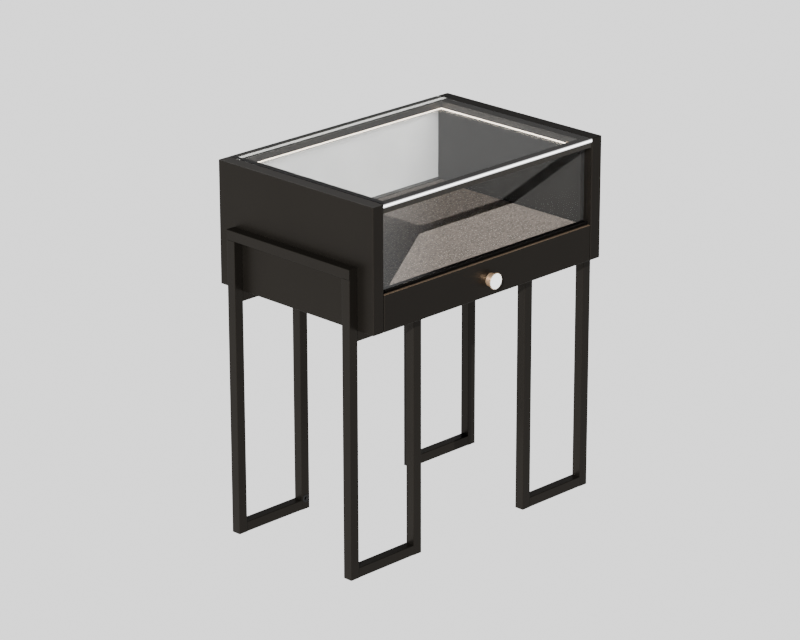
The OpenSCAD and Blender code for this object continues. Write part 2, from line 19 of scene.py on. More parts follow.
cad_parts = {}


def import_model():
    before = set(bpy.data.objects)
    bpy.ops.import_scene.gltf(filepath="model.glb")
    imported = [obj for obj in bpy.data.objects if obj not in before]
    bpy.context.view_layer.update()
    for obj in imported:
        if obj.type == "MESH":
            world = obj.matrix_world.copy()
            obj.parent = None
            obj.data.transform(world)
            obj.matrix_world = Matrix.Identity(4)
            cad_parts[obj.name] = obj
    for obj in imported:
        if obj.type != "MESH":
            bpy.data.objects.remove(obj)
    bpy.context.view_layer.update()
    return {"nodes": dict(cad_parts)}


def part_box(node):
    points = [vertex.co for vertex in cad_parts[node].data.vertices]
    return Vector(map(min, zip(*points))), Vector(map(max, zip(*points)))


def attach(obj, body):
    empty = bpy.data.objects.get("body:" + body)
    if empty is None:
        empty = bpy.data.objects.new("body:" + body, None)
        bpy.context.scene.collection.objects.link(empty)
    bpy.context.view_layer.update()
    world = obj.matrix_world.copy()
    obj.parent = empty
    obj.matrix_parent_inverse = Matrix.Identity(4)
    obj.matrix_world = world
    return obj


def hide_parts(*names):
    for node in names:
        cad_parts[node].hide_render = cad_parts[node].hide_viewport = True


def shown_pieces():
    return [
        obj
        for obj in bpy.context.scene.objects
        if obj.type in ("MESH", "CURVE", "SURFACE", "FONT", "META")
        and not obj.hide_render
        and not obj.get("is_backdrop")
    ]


LOG = logging.getLogger("display_table")
MM = 0.001
# How many finer layers a noise has.
FEW, SOME, MANY, MOST = 2.0, 3.0, 4.0, 5.0

Pair = tuple[float, float]
Triple = tuple[float, float, float]
Colour = Triple
Node = bpy.types.Node
Socket = bpy.types.NodeSocket
Piece = bpy.types.Object


class Body(Enum):
    """The rigid bodies that the scene's own pieces ride on."""

    TABLE = "table"
    DRAWER = "drawer"
    FLAP = "flap"


def linear(red: float, green: float, blue: float) -> Colour:
    """Turns a display colour into scene-linear light.

    Args:
        red: Red as shown on a screen, from 0 to 255.
        green: Green as shown on a screen.
        blue: Blue as shown on a screen.

    Returns:
        The colour in scene-linear values from 0 to 1.
    """

    def channel(value: float) -> float:
        """Straightens one channel's display curve."""
        share = value / 255.0
        return share / 12.92 if share <= 0.04045 else ((share + 0.055) / 1.055) ** 2.4

    return channel(red), channel(green), channel(blue)


def shade(colour: Colour, factor: float) -> Colour:
    """Makes a colour lighter or darker by one factor."""
    return colour[0] * factor, colour[1] * factor, colour[2] * factor


class Graph:
    """A node tree with short calls for its nodes and links."""

    def __init__(self, tree: bpy.types.NodeTree) -> None:
        """Keeps the tree and starts with no nodes in it."""
        self.tree = tree
        tree.nodes.clear()

    def node(self, kind: str, inputs: dict[str, object] | None = None, **settings: object) -> Node:
        """Adds one node.

        Args:
            kind: The node's type name.
            inputs: Values or output sockets for the node's inputs, by name.
            **settings: Properties of the node itself.

        Returns:
            The new node.
        """
        made = self.tree.nodes.new(kind)
        for name, value in settings.items():
            setattr(made, name, value)
        for name, value in (inputs or {}).items():
            self.feed(made.inputs[name], value)
        return made

    def feed(self, socket: Socket, value: object) -> None:
        """Links an output to a socket, or sets the socket's own value."""
        if isinstance(value, Socket):
            self.tree.links.new(value, socket)
        elif isinstance(value, tuple) and socket.type == "RGBA":
            socket.default_value = (*value, 1.0)
        else:
            socket.default_value = value

    def math(self, operation: str, first: object, second: object = 0.0) -> Socket:
        """Adds a math node and returns its result."""
        made = self.node("ShaderNodeMath", operation=operation)
        self.feed(made.inputs[0], first)
        self.feed(made.inputs[1], second)
        return made.outputs[0]

    def axes(self, vector: Socket) -> bpy.types.NodeOutputs:
        """Takes a vector apart and returns its X, Y and Z."""
        return self.node("ShaderNodeSeparateXYZ", {"Vector": vector}).outputs

    def mix(self, factor: object, first: object, second: object, kind: str = "MIX") -> Socket:
        """Lays a share of the second colour over the first and returns the result."""
        made = self.node("ShaderNodeMixRGB", {"Fac": factor, "Color1": first, "Color2": second},
                         blend_type=kind)
        return made.outputs[0]

    def rescale(self, value: Socket, old: Pair = (0.0, 1.0), new: Pair = (0.0, 1.0),
                **settings: object) -> Socket:
        """Maps a value from an old range to a new one and returns it."""
        made = self.node("ShaderNodeMapRange", {
            "Value": value, "From Min": old[0], "From Max": old[1],
            "To Min": new[0], "To Max": new[1]}, **settings)
        return made.outputs["Result"]

    def ramp(self, factor: Socket, stops: list[tuple[float, Colour]]) -> Socket:
        """Turns a value into a colour by stops in rising order."""
        made = self.node("ShaderNodeValToRGB", {"Fac": factor})
        slots = made.color_ramp.elements
        while len(slots) < len(stops):
            slots.new(0.5)
        for slot, (position, colour) in zip(slots, stops):
            slot.position, slot.color = position, (*colour, 1.0)
        return made.outputs["Color"]


def greys(levels: tuple[Pair, ...]) -> list[tuple[float, Colour]]:
    """Returns a ramp's stops from positions that each have a grey."""
    return [(position, (level, level, level)) for position, level in levels]


@dataclass(frozen=True)
class Finish:
    """What every surface shares: a name and a way to be made."""

    name: str

    def material(self) -> bpy.types.Material:
        """Makes the finish's material once.

        Returns:
            The material, which later calls get again.
        """
        found = bpy.data.materials.get(f"look_{self.name}")
        if found is not None:
            return found
        made = bpy.data.materials.new(f"look_{self.name}")
        made.use_nodes = True
        graph = Graph(made.node_tree)
        surface = self.surface(graph)
        graph.node("ShaderNodeOutputMaterial", {"Surface": surface.outputs[0]})
        return made

    def surface(self, graph: Graph) -> Node:
        """Builds the shader, which each kind of finish does its own way."""
        raise NotImplementedError

    @staticmethod
    def place(graph: Graph) -> Socket:
        """Returns the place on the table, which every pattern reads."""
        return graph.node("ShaderNodeTexCoord").outputs["Object"]

    @staticmethod
    def noise(graph: Graph, scale: float, layers: float = SOME,
              stretch: Triple = (1.0, 1.0, 1.0)) -> Socket:
        """Returns a noise from 0 to 1 over the table.

        Args:
            graph: The material's node tree.
            scale: How many grains there are in a metre.
            layers: How many finer layers the noise has.
            stretch: How much the grains are squeezed along X, Y and Z.

        Returns:
            The noise's value.
        """
        mapping = graph.node("ShaderNodeMapping", {
            "Vector": Finish.place(graph), "Scale": stretch})
        made = graph.node("ShaderNodeTexNoise", {
            "Scale": scale, "Detail": layers, "Vector": mapping.outputs[0]})
        return made.outputs["Fac"]

    @staticmethod
    def blend(graph: Graph, factor: Socket, low: Colour, high: Colour,
              narrow: float = 0.3) -> Socket:
        """Returns a colour that runs from one tone to another with a noise.

        Args:
            graph: The material's node tree.
            factor: The noise that picks the tone.
            low: The tone where the noise is low.
            high: The tone where the noise is high.
            narrow: How far the ends of the ramp lie from 0 and 1.

        Returns:
            The colour.
        """
        return graph.ramp(factor, [(narrow, low), (1.0 - narrow, high)])

    @staticmethod
    def tones(graph: Graph, factor: Socket, colour: Colour, swing: Pair,
              narrow: float = 0.3) -> Socket:
        """Returns a colour that a noise makes darker and lighter by two factors."""
        return Finish.blend(graph, factor, shade(colour, swing[0]), shade(colour, swing[1]), narrow)

    @staticmethod
    def stray(graph: Graph, factor: Socket, middle: float, swing: Pair) -> Socket:
        """Returns a value that a noise moves down and up from its middle."""
        return graph.rescale(factor, new=(middle + swing[0], middle + swing[1]))

    @staticmethod
    def band(graph: Graph, low: float, high: float, edge: float, fade: float = 0.2,
             margin: float = 0.1) -> Socket:
        """Returns a level that is full between two heights and falls off at both.

        Args:
            graph: The material's node tree.
            low: The height where the band starts.
            high: The height where it ends.
            edge: The level at both ends.
            fade: How much of the band's height each fall takes.
            margin: How much of it keeps the edge's level at each end.

        Returns:
            The level, as a grey colour.
        """
        across = graph.rescale(graph.axes(Finish.place(graph))["Z"], (low, high))
        top = 1.0 - margin
        levels = ((margin, edge), (margin + fade, 1.0), (top - fade, 1.0), (top, edge))
        return graph.ramp(across, greys(levels))

    @staticmethod
    def relief(graph: Graph, height: Socket, depth: float, strength: float) -> Socket:
        """Returns a normal that a height in metres raises and sinks."""
        made = graph.node("ShaderNodeBump", {
            "Height": height, "Distance": depth, "Strength": strength})
        return made.outputs["Normal"]


@dataclass(frozen=True)
class Skin(Finish):
    """A surface of two close tones, with an uneven gloss and a fine relief."""

    colour: Colour = (0.1, 0.1, 0.1)
    roughness: float = 0.5
    grain: float = 900.0
    specular: float = 0.5
    clouds: float = 9.0
    tone_swing: Pair = (0.9, 1.1)
    gloss_swing: Pair = (-0.05, 0.05)
    depth: float = 0.02 * MM
    strength: float = 0.5

    def shader(self, graph: Graph, tone: Socket, gloss: Socket, grain: Socket,
               **more: object) -> Node:
        """Builds the shader from the noises of its tone, its gloss and its relief."""
        return graph.node("ShaderNodeBsdfPrincipled", {
            "Base Color": self.tones(graph, tone, self.colour, self.tone_swing),
            "Roughness": self.stray(graph, gloss, self.roughness, self.gloss_swing),
            "Specular IOR Level": self.specular,
            "Normal": self.relief(graph, grain, self.depth, self.strength), **more})


@dataclass(frozen=True)
class CoatedMetal(Skin):
    """Metal with a baked coat: fine orange peel and faint wiping marks."""

    roughness: float = 0.4
    tone_swing: Pair = (0.92, 1.08)
    glaze: Colour = (1.0, 0.87, 0.74)
    smudges: float = 26.0

    def surface(self, graph: Graph) -> Node:
        """Builds the coat from two tones, smudged gloss and a fine peel."""
        return self.shader(graph, self.noise(graph, self.clouds, MANY),
                           self.noise(graph, self.smudges, MOST),
                           self.noise(graph, self.grain, FEW), **{"Specular Tint": self.glaze})


@dataclass(frozen=True)
class HighlightStripMetal(CoatedMetal):
    """Coated metal with a painted highlight: a strip of another colour along its top, standing in
    for light caught there.
    """

    # Colour of the painted highlight strip.
    tape: Colour = (0.9, 0.9, 0.88)
    front: float = 0.0
    back: float = 0.01
    low: float = 0.0

    def surface(self, graph: Graph) -> Node:
        """Builds the coat, with the painted highlight between two depths and above one height."""
        shader = super().surface(graph)
        spot = graph.axes(self.place(graph))
        behind = graph.math("GREATER_THAN", spot["Y"], self.front)
        before = graph.math("LESS_THAN", spot["Y"], self.back)
        above = graph.math("GREATER_THAN", spot["Z"], self.low)
        # Mask of the painted highlight.
        highlit = graph.math("MULTIPLY", graph.math("MULTIPLY", behind, before), above)
        coat = shader.inputs["Base Color"].links[0].from_socket
        graph.feed(shader.inputs["Base Color"], graph.mix(highlit, coat, self.tape))
        return shader


@dataclass(frozen=True)
class BareMetal(Skin):
    """Bare or plated metal with fine drawn lines along one direction."""

    grain: float = 1.0
    tone_swing: Pair = (0.9, 1.06)
    gloss_swing: Pair = (-0.07, 0.08)
    depth: float = 0.01 * MM
    strength: float = 0.6
    lines: Triple = (6.0, 900.0, 900.0)
    metallic: float = 1.0

    def surface(self, graph: Graph) -> Node:
        """Builds the metal with lines in its tone, its gloss and its relief."""
        lines = self.noise(graph, self.grain, SOME, self.lines)
        return self.shader(graph, lines, lines, lines, Metallic=self.metallic)


@dataclass(frozen=True)
class Laminate(Skin):
    """A board or lining with a fine pressed texture."""

    roughness: float = 0.55
    grain: float = 650.0
    clouds: float = 14.0
    tone_swing: Pair = (0.95, 1.05)
    gloss_swing: Pair = (-0.04, 0.06)
    depth: float = 0.04 * MM

    def surface(self, graph: Graph) -> Node:
        """Builds the laminate with faint clouds and a pressed grain."""
        grain = self.noise(graph, self.grain, FEW)
        return self.shader(graph, self.noise(graph, self.clouds, SOME), grain, grain)


@dataclass(frozen=True)
class Cloth(Finish):
    """Short-napped cloth with speckles of lighter and darker fibre."""

    dark: Colour = (0.1, 0.09, 0.08)
    light: Colour = (0.3, 0.27, 0.25)
    speckle: float = 420.0
    fineness: float = 4.0
    fibre_share: float = 0.28
    patches: float = 16.0
    patch_swing: Pair = (-0.015, 0.015)
    narrow: float = 0.37
    roughness: float = 0.95
    specular: float = 0.2
    sheen: float = 0.03
    sheen_roughness: float = 0.45
    depth: float = 0.15 * MM
    strength: float = 0.6

    def surface(self, graph: Graph) -> Node:
        """Builds the cloth from speckles, brushed patches and a nap."""
        specks = self.noise(graph, self.speckle, MANY)
        fibre = self.noise(graph, self.speckle * self.fineness, FEW)
        brushed = self.noise(graph, self.patches, SOME)
        mixed = graph.math("ADD", graph.math("MULTIPLY", specks, 1.0 - self.fibre_share),
                           graph.math("MULTIPLY", fibre, self.fibre_share))
        lifted = graph.math("ADD", mixed, self.stray(graph, brushed, 0.0, self.patch_swing))
        return graph.node("ShaderNodeBsdfPrincipled", {
            "Base Color": self.blend(graph, lifted, self.dark, self.light, self.narrow),
            "Roughness": self.roughness, "Specular IOR Level": self.specular,
            "Sheen Weight": self.sheen, "Sheen Roughness": self.sheen_roughness,
            "Normal": self.relief(graph, mixed, self.depth, self.strength)})


@dataclass(frozen=True)
class ClearGlass(Finish):
    """Polished clear glass."""

    tint: Colour = (0.985, 0.995, 0.99)
    ior: float = 1.5
    wiping: float = 7.0
    wiped_swing: Pair = (0.988, 1.0)

    def surface(self, graph: Graph) -> Node:
        """Builds the glass, with a trace of wiping marks in its clearness."""
        wiped = self.noise(graph, self.wiping, FEW)
        return graph.node("ShaderNodeBsdfPrincipled", {
            "Base Color": self.tones(graph, wiped, self.tint, self.wiped_swing),
            "Roughness": 0.0, "IOR": self.ior, "Transmission Weight": 1.0})


@dataclass(frozen=True)
class PaintedReflectionGlass(ClearGlass):
    """Clear glass with a painted reflection at one end: a soft glow, as of a pale card mirrored in
    it.
    """

    # Strength of the painted reflection's glow.
    reflection_glow: float = 0.04
    start: float = 0.0
    end: float = 0.1

    def surface(self, graph: Graph) -> Node:
        """Builds the glass, with the painted reflection fading out along X."""
        shader = super().surface(graph)
        share = graph.rescale(graph.axes(self.place(graph))["X"], (self.start, self.end),
                              (1.0, 0.0), interpolation_type="SMOOTHSTEP")
        graph.feed(shader.inputs["Emission Color"], share)
        graph.feed(shader.inputs["Emission Strength"], self.reflection_glow)
        return shader


@dataclass(frozen=True)
class GroundEdgePaintedGlow(Finish):
    """The ground and polished edge of a pane, with a painted glow standing in for light caught
    inside the glass, and painted shade at its top and bottom.
    """

    tint: Colour = (0.93, 0.95, 0.94)
    roughness: float = 0.3
    # Strength of the painted glow; the edge is no lamp.
    glow: float = 4.6
    low: float = 0.0
    high: float = 0.01
    lines: Triple = (8.0, 1400.0, 1400.0)
    tone_swing: Pair = (0.93, 1.0)
    # Level of the painted shade at the edge's top and bottom, on both its colour and its glow.
    painted_shade_level: float = 0.06
    fade: float = 0.28
    depth: float = 0.02 * MM
    strength: float = 0.4

    def surface(self, graph: Graph) -> Node:
        """Builds the edge with the fine lines that the grinding leaves, and with its painted glow
        and painted shade.
        """
        lines = self.noise(graph, 1.0, FEW, self.lines)
        tone = self.tones(graph, lines, self.tint, self.tone_swing)
        band = self.band(graph, self.low, self.high, self.painted_shade_level, self.fade)
        return graph.node("ShaderNodeBsdfPrincipled", {
            "Base Color": graph.mix(1.0, tone, band, "MULTIPLY"), "Roughness": self.roughness,
            "Emission Color": band, "Emission Strength": self.glow,
            "Normal": self.relief(graph, lines, self.depth, self.strength)})


@dataclass(frozen=True)
class Opal(Finish):
    """An opal diffuser with light behind it, brightest along its middle."""

    colour: Colour = (0.9, 0.85, 0.76)
    roughness: float = 0.5
    glow: Colour = (1.0, 0.83, 0.64)
    power: float = 7.0
    low: float = 0.0
    high: float = 0.01
    lamps: float = 9.0
    uneven: float = 0.4
    lamp_swing: Pair = (0.94, 1.0)
    narrow: float = 0.1

    def surface(self, graph: Graph) -> Node:
        """Builds the diffuser, a little brighter over each lamp of the strip."""
        along = graph.node("ShaderNodeTexWave", {
            "Vector": self.place(graph), "Scale": self.lamps, "Distortion": self.uneven,
            "Detail": 0.0}).outputs["Fac"]
        lit = self.tones(graph, along, self.glow, self.lamp_swing, self.narrow)
        band = self.band(graph, self.low, self.high, 0.0)
        return graph.node("ShaderNodeBsdfPrincipled", {
            "Base Color": self.colour, "Roughness": self.roughness,
            "Emission Color": graph.mix(1.0, lit, band, "MULTIPLY"),
            "Emission Strength": self.power})


@dataclass(frozen=True)
class Moulded(Skin):
    """Moulded rubber or plastic with a spark-eroded texture."""

    grain: float = 1100.0
    clouds: float = 40.0
    gloss_swing: Pair = (-0.06, 0.08)
    depth: float = 0.03 * MM
    strength: float = 0.6

    def surface(self, graph: Graph) -> Node:
        """Builds the moulding with its fine matte texture."""
        grain = self.noise(graph, self.grain)
        return self.shader(graph, self.noise(graph, self.clouds), grain, grain)


@dataclass(frozen=True)
class Backdrop(Finish):
    """A plain pale floor with a glow of its own."""

    colour: Colour = linear(206, 206, 206)
    roughness: float = 0.9
    glow: float = 1.6

    def surface(self, graph: Graph) -> Node:
        """Builds the even surface."""
        return graph.node("ShaderNodeBsdfPrincipled", {
            "Base Color": self.colour, "Roughness": self.roughness, "Specular IOR Level": 0.0,
            "Emission Color": (1.0, 1.0, 1.0), "Emission Strength": self.glow})


@dataclass(frozen=True)
class Finishes:
    """The table's finishes, by where they are used."""

    bronze: CoatedMetal = CoatedMetal("bronze_coat", (0.0052, 0.0046, 0.0038), 0.4, 900.0, 0.4)
    profile: CoatedMetal = CoatedMetal("bronze_profile", (0.024, 0.0225, 0.0205), 0.4)
    tube: Finish = CoatedMetal("tube_coat", (0.0056, 0.005, 0.0042), 0.32, 900.0, 0.45)
    board: Finish = Laminate("dark_board", linear(58, 56, 53))
    lining: Finish = Laminate("dark_lining", linear(44, 43, 42), 0.6, specular=0.12,
                              depth=0.006 * MM)
    white_board: Finish = Laminate("white_board", linear(226, 226, 225), 0.45)
    suede: Finish = Cloth("suede", linear(44, 39, 35), linear(104, 94, 86), 260.0)
    felt: Finish = Cloth("felt", linear(70, 64, 58), linear(112, 104, 96), 700.0)
    glass: Finish = ClearGlass("clear_glass")
    channel: Finish = CoatedMetal("black_anodised", linear(10, 10, 10), 0.5, 1300.0, 0.15)
    end_cap: Finish = Moulded("tan_end_cap", linear(184, 160, 134), 0.5)
    champagne: Finish = BareMetal("champagne_metal", linear(222, 190, 156), 0.4,
                                  lines=(40.0, 1400.0, 40.0), metallic=0.8)
    disc: Finish = Laminate("pale_disc", linear(208, 208, 207), 0.22, 1500.0)
    steel: Finish = BareMetal("bright_steel", linear(196, 197, 199), 0.28)
    zinc: Finish = BareMetal("zinc_plate", linear(186, 190, 196), 0.34,
                             lines=(900.0, 5.0, 900.0))
    rubber: Finish = Moulded("black_rubber", linear(20, 20, 20), 0.7)
    bumper: Finish = Moulded("clear_rubber", linear(196, 196, 192), 0.4)
    black_plastic: Finish = Moulded("black_plastic", linear(26, 26, 26), 0.5)
    white_plastic: Finish = Moulded("white_plastic", linear(222, 222, 220), 0.42)


FINISHES = Finishes()


def link_mesh(name: str, mesh: bpy.types.Mesh) -> Piece:
    """Puts a mesh into the scene as an object at the origin.

    Args:
        name: The piece's name.
        mesh: Its mesh, with its place in its points.

    Returns:
        The new object.
    """
    made = bpy.data.objects.new(name, mesh)
    bpy.context.scene.collection.objects.link(made)
    return made


def mesh_of(name: str, shape: bmesh.types.BMesh) -> Piece:
    """Turns a shape into a piece with its faces pointing outwards."""
    bmesh.ops.recalc_face_normals(shape, faces=shape.faces)
    mesh = bpy.data.meshes.new(name)
    shape.to_mesh(mesh)
    shape.free()
    return link_mesh(name, mesh)


def add_block(shape: bmesh.types.BMesh, size: Vector, centre: Vector, turn: float = 0.0) -> None:
    """Adds a block to a shape.

    Args:
        shape: The shape.
        size: The block's size along X, Y and Z.
        centre: Where its middle goes.
        turn: How far it is turned about Z before that, in radians.
    """
    points = bmesh.ops.create_cube(shape, size=1.0)["verts"]
    bmesh.ops.scale(shape, vec=size, verts=points)
    bmesh.ops.rotate(shape, matrix=Matrix.Rotation(turn, 3, "Z"), verts=points)
    bmesh.ops.translate(shape, vec=centre, verts=points)


def soften(shape: bmesh.types.BMesh, width: float, bulge: float = 0.0) -> None:
    """Bevels every edge of a shape.

    Args:
        shape: The shape.
        width: How wide the bevel is.
        bulge: How far the bevel bulges, with 0.5 for a round one.
    """
    bmesh.ops.bevel(shape, geom=list(shape.edges), offset=width, segments=2, profile=bulge,
                    affect="EDGES")


def dress(piece: Piece, *finishes: Finish) -> None:
    """Gives a piece its finishes, one for each material slot."""
    slots = piece.data.materials
    for index, finish in enumerate(finishes):
        if index < len(slots):
            slots[index] = finish.material()
        else:
            slots.append(finish.material())


def settle(piece: Piece, body: Body) -> None:
    """Lets a piece ride on its body."""
    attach(piece, body.value)
    LOG.info("%s rides on %s", piece.name, body.value)


class Rule:
    """A Geometry Nodes tree that makes one piece, and the piece made plain."""

    def __init__(self, name: str) -> None:
        """Starts a tree with one geometry output."""
        self.tree = bpy.data.node_groups.new(name, "GeometryNodeTree")
        self.tree.interface.new_socket("Geometry", in_out="OUTPUT",
                                       socket_type="NodeSocketGeometry")
        self.graph = Graph(self.tree)
        self.inlet: Node | None = None
        self.values: dict[str, object] = {}

    def size(self, name: str, kind: str, value: object) -> None:
        """Adds a named input to the tree, before its nodes are made.

        Args:
            name: What the size is called.
            kind: The socket's type, without its NodeSocket start.
            value: What this piece uses.
        """
        self.tree.interface.new_socket(name, in_out="INPUT", socket_type=f"NodeSocket{kind}")
        self.values[name] = value

    def given(self, name: str) -> Socket:
        """Returns the socket that brings a named input."""
        if self.inlet is None:
            self.inlet = self.graph.node("NodeGroupInput")
        return self.inlet.outputs[name]

    def finish(self, geometry: Socket) -> None:
        """Ends the tree in plain geometry with its material."""
        real = self.graph.node("GeometryNodeRealizeInstances", {"Geometry": geometry})
        dressed = self.graph.node("GeometryNodeSetMaterial", {
            "Geometry": real.outputs[0], "Material": self.given("Finish")})
        output = self.graph.node("NodeGroupOutput")
        self.graph.feed(output.inputs[0], dressed.outputs[0])

    def piece(self, name: str) -> Piece:
        """Runs the tree and returns its result as a plain mesh.

        Args:
            name: The piece's name.

        Returns:
            The piece, with no modifier left on it.
        """
        carrier = link_mesh(name, bpy.data.meshes.new(name))
        modifier = carrier.modifiers.new("rule", "NODES")
        modifier.node_group = self.tree
        for item in self.tree.interface.items_tree:
            if item.in_out == "INPUT" and item.name in self.values:
                modifier[item.identifier] = self.values[item.name]
        graph = bpy.context.evaluated_depsgraph_get()
        plain = bpy.data.meshes.new_from_object(carrier.evaluated_get(graph))
        carrier.modifiers.remove(modifier)
        carrier.data = plain
        return carrier


def rows_of(name: str, unit: Piece, finish: Finish, starts: list[Vector], step: Triple,
            count: int) -> Piece:
    """Repeats a small part in rows with Geometry Nodes.

    Args:
        name: The piece's name.
        unit: The part that repeats, made round the origin. It is removed afterwards.
        finish: What the parts are made of.
        starts: Where each row starts.
        step: From one part of a row to the next.
        count: How many parts a row has.

    Returns:
        One piece with all the parts.
    """
    rule = Rule(f"{name}_rule")
    rule.size("Part", "Object", unit)
    rule.size("Count", "Int", count)
    rule.size("Step", "Vector", step)
    rule.size("Finish", "Material", finish.material())
    for index, start in enumerate(starts):
        rule.size(f"Start {index}", "Vector", tuple(start))
    graph = rule.graph
    source = graph.node("GeometryNodeObjectInfo", {
        "Object": rule.given("Part"), "As Instance": True})
    joined = graph.node("GeometryNodeJoinGeometry")
    for index in range(len(starts)):
        row = graph.node("GeometryNodeMeshLine", {
            "Count": rule.given("Count"), "Offset": rule.given("Step"),
            "Start Location": rule.given(f"Start {index}")})
        graph.feed(joined.inputs[0], row.outputs[0])
    placed = graph.node("GeometryNodeInstanceOnPoints", {
        "Points": joined.outputs[0], "Instance": source.outputs["Geometry"]})
    rule.finish(placed.outputs[0])
    piece = rule.piece(name)
    bpy.data.objects.remove(unit)
    return piece


@dataclass
class ScrewHead:
    """A low screw head with a cross recess, standing on the origin.

    The rings run from its foot over its rim into its recess, as shares of its
    radius and of its height. The bars' sizes are shares of the same two.
    """

    radius: float
    height: float
    toward: Vector
    sides: int = 24
    rings: tuple[Pair, ...] = (
        (1.0, 0.0), (1.0, 0.45), (0.9, 0.85), (0.72, 1.0), (0.5, 1.0), (0.5, 0.3))
    bars: int = 2
    bar_length: float = 0.98
    bar_width: float = 0.2
    bar_height: float = 0.6
    bar_rise: float = 0.45

    def build(self) -> Piece:
        """Makes the head, to be repeated.

        Returns:
            The head, facing its way.
        """
        shape = bmesh.new()
        turns = [math.tau * index / self.sides for index in range(self.sides)]
        loops = [[shape.verts.new((self.radius * share * math.cos(turn),
                                   self.radius * share * math.sin(turn), self.height * up))
                  for turn in turns] for share, up in self.rings]
        for low, high in zip(loops, loops[1:]):
            for i in range(self.sides):
                after = (i + 1) % self.sides
                shape.faces.new((low[i], low[after], high[after], high[i]))
        shape.faces.new(list(reversed(loops[0])))
        shape.faces.new(loops[-1])
        size = Vector((self.radius * self.bar_length, self.radius * self.bar_width,
                       self.height * self.bar_height))
        for bar in range(self.bars):
            add_block(shape, size, Vector((0, 0, self.height * self.bar_rise)),
                      math.pi * bar / self.bars)
        turned = self.toward.to_track_quat("Z", "Y").to_matrix()
        bmesh.ops.rotate(shape, matrix=turned, verts=shape.verts)
        return mesh_of("screw_head_unit", shape)


@dataclass
class ClothCover:
    """A cloth cover that fills the space of one flat solid."""

    node: str
    name: str
    finish: Finish
    body: Body
    slot: str
    rests_on: str
    grid: float = 3.0 * MM
    nap: float = 0.22 * MM
    nap_scale: float = 260.0
    roll: float = 1.6 * MM
    roll_depth: float = 1.2

    def build(self) -> Piece:
        """Makes the cover with a napped top and rolled edges.

        Returns:
            The cover, which replaces its solid.
        """
        low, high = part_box(self.node)
        size = high - low
        rule = Rule(f"{self.name}_rule")
        rule.size("Size", "Vector", tuple(size))
        rule.size("Count X", "Int", max(2, round(size.x / self.grid)))
        rule.size("Count Y", "Int", max(2, round(size.y / self.grid)))
        rule.size("Centre", "Vector", tuple((low + high) / 2))
        rule.size("Nap", "Float", self.nap)
        rule.size("Nap Scale", "Float", self.nap_scale)
        rule.size("Roll", "Float", self.roll)
        rule.size("Finish", "Material", self.finish.material())
        graph = rule.graph
        block = graph.node("GeometryNodeMeshCube", {
            "Size": rule.given("Size"), "Vertices X": rule.given("Count X"),
            "Vertices Y": rule.given("Count Y"), "Vertices Z": 2})
        spot = graph.node("GeometryNodeInputPosition").outputs[0]
        apart = graph.axes(spot)
        half = graph.node("ShaderNodeVectorMath", {"Vector": rule.given("Size"), "Scale": 0.5},
                          operation="SCALE")
        halves = graph.axes(half.outputs[0])
        inset = [graph.math("SUBTRACT", halves[axis], graph.math("ABSOLUTE", apart[axis]))
                 for axis in range(2)]
        nearest = graph.math("MINIMUM", inset[0], inset[1])
        within = graph.math("DIVIDE", nearest, rule.given("Roll"))
        edge = graph.math("MAXIMUM", graph.math("SUBTRACT", 1.0, within))
        depth = graph.math("MULTIPLY", halves[2], self.roll_depth)
        drop = graph.math("MULTIPLY", graph.math("MULTIPLY", edge, edge), depth)
        grain = graph.node("ShaderNodeTexNoise", {
            "Vector": spot, "Scale": rule.given("Nap Scale"), "Detail": FEW}).outputs["Fac"]
        sunk = graph.math("ADD", graph.math("MULTIPLY", grain, rule.given("Nap")), drop)
        down = graph.node("ShaderNodeCombineXYZ", {"Z": graph.math("MULTIPLY", sunk, -1.0)})
        top = graph.node("FunctionNodeCompare", data_type="FLOAT", operation="GREATER_THAN")
        graph.feed(top.inputs[0], apart[2])
        napped = graph.node("GeometryNodeSetPosition", {
            "Geometry": block.outputs["Mesh"], "Selection": top.outputs[0],
            "Offset": down.outputs[0]})
        moved = graph.node("GeometryNodeTransform", {
            "Geometry": napped.outputs[0], "Translation": rule.given("Centre")})
        smooth = graph.node("GeometryNodeSetShadeSmooth", {"Geometry": moved.outputs[0]})
        rule.finish(smooth.outputs[0])
        piece = rule.piece(self.name)
        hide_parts(self.node)
        settle(piece, self.body)
        return piece


@dataclass
class Pane:
    """A glass pane with polished faces, and a ground front edge where asked."""

    node: str
    name: str
    glass: Finish
    ground: bool = False
    arris: float = 0.6 * MM
    round_bulge: float = 0.5
    front_facing: float = -0.3

    def build(self) -> Piece:
        """Makes the pane, with a ground front edge as a finish of its own.

        Returns:
            The pane, which replaces its solid.
        """
        low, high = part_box(self.node)
        shape = bmesh.new()
        add_block(shape, high - low, (low + high) / 2)
        soften(shape, self.arris, self.round_bulge)
        bmesh.ops.recalc_face_normals(shape, faces=shape.faces)
        for face in shape.faces:
            face.material_index = int(self.ground and face.normal.y < self.front_facing)
        piece = mesh_of(self.name, shape)
        # The ground edge's finish paints a glow and a shade onto it.
        edge = GroundEdgePaintedGlow("ground_edge_painted_glow", low=low.z, high=high.z)
        dress(piece, self.glass, *([edge] if self.ground else []))
        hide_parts(self.node)
        settle(piece, Body.TABLE)
        return piece


@dataclass
class EndCaps:
    """The tan end caps of the light strip, just in front of its two front ends."""

    length: float = 3.0 * MM
    width: float = 8.0 * MM
    inset: float = 4.0 * MM
    rise: float = 6.5 * MM
    proud: float = 0.05 * MM
    arris: float = 0.3 * MM

    def build(self) -> None:
        """Makes the two end caps as one piece."""
        low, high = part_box("light_diffuser")
        rail_low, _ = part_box("side_rail_right")
        top = rail_low.z + self.rise
        size = Vector((self.width, self.length, top - low.z)) + Vector((1, 1, 1)) * self.proud
        shape = bmesh.new()
        for side, edge in ((1, low.x), (-1, high.x)):
            middle = edge - side * self.width / 2 + side * self.inset
            add_block(shape, size, Vector((middle, low.y - self.length / 2, (low.z + top) / 2)))
        soften(shape, self.arris)
        piece = mesh_of("light_end_caps", shape)
        dress(piece, FINISHES.end_cap)
        settle(piece, Body.TABLE)


